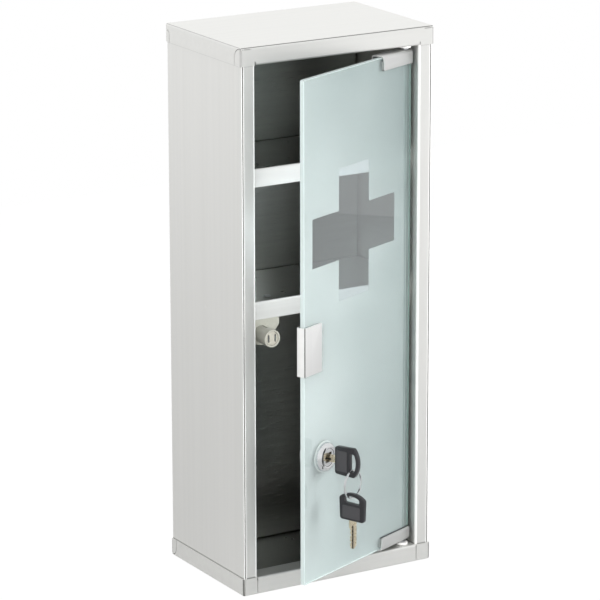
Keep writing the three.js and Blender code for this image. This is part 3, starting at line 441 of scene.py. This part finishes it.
# hollow of the plug and sunk grooves of the blades, painted dark as shade, and raised panels of the bows, in
# mm on the door
lock = {"across": -113.5, "up": 121.0, "hollow": 4.1, "depth": 2.0, "lip": 0.05,
        "bladeHalf": 1.0, "grooveSunk": 0.3, "bowHalf": 2.0, "panelProud": 0.2}
plugFace = min(onDoor(corner.co)[1] for corner in nodes["lock_plug"].data.vertices)


def isHollow(at, way):
    x, y, z = onDoor(at)
    inside = abs(x - lock["across"]) < lock["hollow"] and abs(z - lock["up"]) < lock["hollow"]
    return inside and lock["lip"] < y - plugFace < lock["depth"]


def isGroove(at, way):
    aside = abs(onDoor(at)[0] - lock["across"])
    return abs(way.dot(doorAcross)) > square and aside < lock["bladeHalf"] - lock["grooveSunk"]


def isPanel(at, way):
    aside = abs(onDoor(at)[0] - lock["across"])
    return abs(way.dot(doorAcross)) > square and aside > lock["bowHalf"] + lock["panelProud"]


# painted highlight on the cut ends of the hinge clips and their liners and on the turned side of the handle,
# at the free side
def isHighlightedEnd(at, way):
    return way.dot(doorAcross) < -square


for clipEnd in ("top_hinge_clip", "bottom_hinge_clip", "top_hinge_liner", "bottom_hinge_liner"):
    paintFaces(clipEnd, "levelSteel", isHighlightedEnd)
for bowName in ("key_bow", "spare_key_bow"):
    paintFaces(bowName, "bowPanel", isPanel)
paintFaces("door_handle", "lipSteel", isHighlightedEnd)
# painted shade in the crease of the handle, the hollow of the plug and the grooves of the blades
paintFaces("door_handle", "seam", isCrease)
paintFaces("lock_plug", "plug", isHollow)
for bladeName in ("key_blade", "spare_key_blade"):
    paintFaces(bladeName, "seam", isGroove)
print("finishes on:", len(finishes))


# small castings, mouldings and pressings get their edges eased: width of the ease in mm
easedEdges = {
    "key_bow": 0.55, "spare_key_bow": 0.55, "key_blade": 0.12, "spare_key_blade": 0.12,
    "lock_body": 0.2, "lock_plug": 0.15, "lock_gasket": 0.25, "catch_bracket": 0.3, "catch_insert": 0.25,
    "door_handle": 0.12, "top_hinge_clip": 0.12, "bottom_hinge_clip": 0.12,
    "top_pivot_bush": 0.2, "bottom_pivot_bush": 0.2, "lock_nut": 0.3, "lock_cam": 0.25, "cam_screw": 0.2,
}
easeSet = {"segments": 3, "sharp": math.radians(28), "level": math.radians(0.5)}
smoothAngle = math.radians(35)
mergeGap = 0.000002


def easeEdges(name, width):
    bpy.ops.object.select_all(action="DESELECT")
    nodes[name].select_set(True)
    bpy.context.view_layer.objects.active = nodes[name]
    bpy.ops.object.duplicate()
    piece = bpy.context.object
    words = name.split("_")
    piece.name = words[0] + "".join(word.capitalize() for word in words[1:]) + "Eased"
    body = piece["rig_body"]
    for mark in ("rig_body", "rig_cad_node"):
        del piece[mark]
    bpy.ops.object.mode_set(mode="EDIT")
    bpy.ops.mesh.select_all(action="SELECT")
    bpy.ops.mesh.remove_doubles(threshold=mergeGap)
    bpy.ops.mesh.dissolve_limited(angle_limit=easeSet["level"], delimit={"MATERIAL"})
    bpy.ops.object.mode_set(mode="OBJECT")
    ease = piece.modifiers.new("ease", "BEVEL")
    ease.width = width * mm
    ease.segments = easeSet["segments"]
    ease.limit_method = "ANGLE"
    ease.angle_limit = easeSet["sharp"]
    bpy.ops.object.modifier_apply(modifier="ease")
    bpy.ops.object.shade_smooth_by_angle(angle=smoothAngle)
    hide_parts(name)
    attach(piece, body)


for name, width in easedEdges.items():
    easeEdges(name, width)
print("edges eased on:", len(easedEdges))

# split ring: two turns of flat wire, in mm
ringSet = {"radius": 11.25, "wire": (1.15, 0.66), "corner": 0.16, "cornerSteps": 2,
           "rise": 0.7, "turn": 346, "turns": 2, "steps": 96}
quarterTurn = math.radians(90)
bpy.ops.object.select_all(action="DESELECT")
wireStart = (ringSet["radius"] * mm, 0, 0)
bpy.ops.mesh.primitive_plane_add(size=mm, location=wireStart, rotation=(quarterTurn, 0, 0))
ring = bpy.context.object
ring.name = "splitRing"
ring.scale = (*ringSet["wire"], 1)
bpy.ops.object.transform_apply(location=True, rotation=True, scale=True)
bpy.ops.object.mode_set(mode="EDIT")
bpy.ops.mesh.select_all(action="SELECT")
bpy.ops.mesh.bevel(offset=ringSet["corner"] * mm, segments=ringSet["cornerSteps"], affect="VERTICES")
bpy.ops.object.mode_set(mode="OBJECT")
wind = ring.modifiers.new("wind", "SCREW")
wind.axis = "Z"
wind.angle = math.radians(ringSet["turn"])
wind.iterations = ringSet["turns"]
wind.screw_offset = ringSet["rise"] * mm
wind.steps = wind.render_steps = ringSet["steps"]
bpy.ops.object.modifier_apply(modifier="wind")
bpy.ops.object.mode_set(mode="EDIT")
bpy.ops.mesh.select_all(action="SELECT")
bpy.ops.mesh.remove_doubles(threshold=mergeGap)
bpy.ops.mesh.fill_holes(sides=0)
bpy.ops.mesh.select_all(action="SELECT")
bpy.ops.mesh.normals_make_consistent(inside=False)
bpy.ops.object.mode_set(mode="OBJECT")
ringLow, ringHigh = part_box("key_ring")
ring.rotation_euler = (quarterTurn, 0, door["angle"])
ring.location = (ringLow + ringHigh) / 2 + doorInward * ringSet["rise"] * mm
bpy.ops.object.transform_apply(location=True, rotation=True, scale=True)
bpy.ops.object.shade_smooth_by_angle(angle=smoothAngle)
ring.data.materials.append(finishes["chrome"])
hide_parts("key_ring")
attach(ring, "ring")

# spot welds that hold the shelves, one in the middle of each side flange, in mm; rim and dimple are shares
weldSet = {"radius": 1.6, "sides": 28, "proud": 0.12, "dish": 0.1, "rim": 0.35, "dimple": 0.3,
           "heights": (337.0, 228.0), "along": 1.0, "wall": 87.9}
bpy.ops.object.select_all(action="DESELECT")
bpy.ops.mesh.primitive_cylinder_add(vertices=weldSet["sides"], radius=weldSet["radius"] * mm,
                                    depth=2 * weldSet["proud"] * mm)
weld = bpy.context.object
bpy.ops.object.mode_set(mode="EDIT")
bpy.ops.mesh.select_all(action="DESELECT")
bpy.ops.object.mode_set(mode="OBJECT")
for face in weld.data.polygons:
    face.select = face.normal.z > square
bpy.ops.object.mode_set(mode="EDIT")
bpy.ops.mesh.inset(thickness=weldSet["rim"] * weldSet["radius"] * mm, depth=0)
bpy.ops.transform.translate(value=(0, 0, -weldSet["dish"] * mm))
bpy.ops.mesh.inset(thickness=weldSet["dimple"] * weldSet["radius"] * mm, depth=0)
bpy.ops.object.mode_set(mode="OBJECT")
bpy.ops.object.shade_smooth_by_angle(angle=smoothAngle)
weld.data.materials.append(finishes["levelSteel"])
for side in (-1, 1):
    for height in weldSet["heights"]:
        bpy.ops.object.select_all(action="DESELECT")
        mark = weld.copy()
        mark.data = weld.data.copy()
        bpy.context.collection.objects.link(mark)
        mark.name = "shelfWeld" + ("Left" if side < 0 else "Right") + str(round(height))
        mark.rotation_euler = (0, side * quarterTurn, 0)
        mark.location = (side * weldSet["wall"] * mm, weldSet["along"] * mm, height * mm)
        mark.select_set(True)
        bpy.context.view_layer.objects.active = mark
        bpy.ops.object.transform_apply(location=True, rotation=True, scale=True)
        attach(mark, "cabinet")
bpy.data.objects.remove(weld)
print("split ring and welds made")

# pale floor that shows almost white to the camera and darker in reflections
stageSet = {"floorSize": 2.4, "floorDrop": 0.0005, "floorTone": 0.65, "floorRough": 0.9,
            "floorGlow": 0.92, "mirrorGlow": 0.15, "glowLevel": 1.06, "skyLight": 0.45}
bpy.ops.mesh.primitive_plane_add(size=stageSet["floorSize"], location=(0, 0, -stageSet["floorDrop"]))
floor = bpy.context.object
floor.name = "floor"


def mirrorRays(tree, path):
    return reckon(tree, "MAXIMUM", path.outputs["Is Glossy Ray"], path.outputs["Is Transmission Ray"])


floorFinish, floorTree, floorShader = newFinish("paleFloor")
floorGrey = stageSet["floorTone"]
floorShader.inputs["Base Color"].default_value = (floorGrey, floorGrey, floorGrey, 1)
floorShader.inputs["Roughness"].default_value = stageSet["floorRough"]
path = addNode(floorTree, "ShaderNodeLightPath")
mirrored = reckon(floorTree, "MULTIPLY", mirrorRays(floorTree, path), stageSet["mirrorGlow"])
direct = reckon(floorTree, "MULTIPLY", path.outputs["Is Camera Ray"], stageSet["floorGlow"])
glow = addNode(floorTree, "ShaderNodeEmission")
glow.inputs["Strength"].default_value = stageSet["glowLevel"]
mixFloor = addNode(floorTree, "ShaderNodeMixShader")
floorTree.links.new(reckon(floorTree, "MAXIMUM", direct, mirrored), mixFloor.inputs[0])
floorTree.links.new(floorShader.outputs[0], mixFloor.inputs[1])
floorTree.links.new(glow.outputs[0], mixFloor.inputs[2])
floorTree.links.new(mixFloor.outputs[0], floorTree.nodes["Material Output"].inputs["Surface"])
floor.data.materials.append(floorFinish)

# white studio all round, full where it is seen or mirrored and dimmer as a light
world = bpy.data.worlds.new("studio")
bpy.context.scene.world = world
world.use_nodes = True
skyTree = world.node_tree
path = addNode(skyTree, "ShaderNodeLightPath")
seen = reckon(skyTree, "MAXIMUM", path.outputs["Is Camera Ray"], mirrorRays(skyTree, path))
sky = skyTree.nodes["Background"]
sky.inputs["Color"].default_value = (1, 1, 1, 1)
skyTree.links.new(spread(skyTree, seen, stageSet["skyLight"], 1.0, 0, 1), sky.inputs["Strength"])

lampSet = [{"place": (1.0, -1.3, 0.6), "size": 0.8, "power": 17.0},
           {"place": (-1.0, -1.6, 0.75), "size": 0.9, "power": 24.0}]
lampAim = Vector((0, 0, 0.22))
for lampValues in lampSet:
    bpy.ops.object.light_add(type="AREA", location=lampValues["place"])
    lamp = bpy.context.object
    lamp.data.size = lampValues["size"]
    lamp.data.energy = lampValues["power"]
    lamp.visible_glossy = False  # sheet metal shows the plain studio, not hot lamp shapes
    lamp.rotation_euler = (lampAim - lamp.location).to_track_quat("-Z", "Y").to_euler()

cameraFit = {"azimuth": -30.883, "elevation": 15.614, "distance": 2.8942, "focusPixels": 3551.4,
             "target": (0.00011, 0.0, 0.22128), "roll": -0.085, "imagePixels": 600, "sensor": 36.0}
azimuth = math.radians(cameraFit["azimuth"])
elevation = math.radians(cameraFit["elevation"])
back = Vector((math.sin(azimuth) * math.cos(elevation), -math.cos(azimuth) * math.cos(elevation),
               math.sin(elevation)))
bpy.ops.object.camera_add(location=Vector(cameraFit["target"]) + back * cameraFit["distance"])
camera = bpy.context.object
roll = Quaternion((0, 0, 1), math.radians(cameraFit["roll"]))
camera.rotation_euler = ((-back).to_track_quat("-Z", "Y") @ roll).to_euler()
camera.data.sensor_width = cameraFit["sensor"]
camera.data.lens = cameraFit["focusPixels"] / cameraFit["imagePixels"] * cameraFit["sensor"]
bpy.context.scene.camera = camera
bpy.context.scene.view_settings.view_transform = "Standard"
print("studio ready")
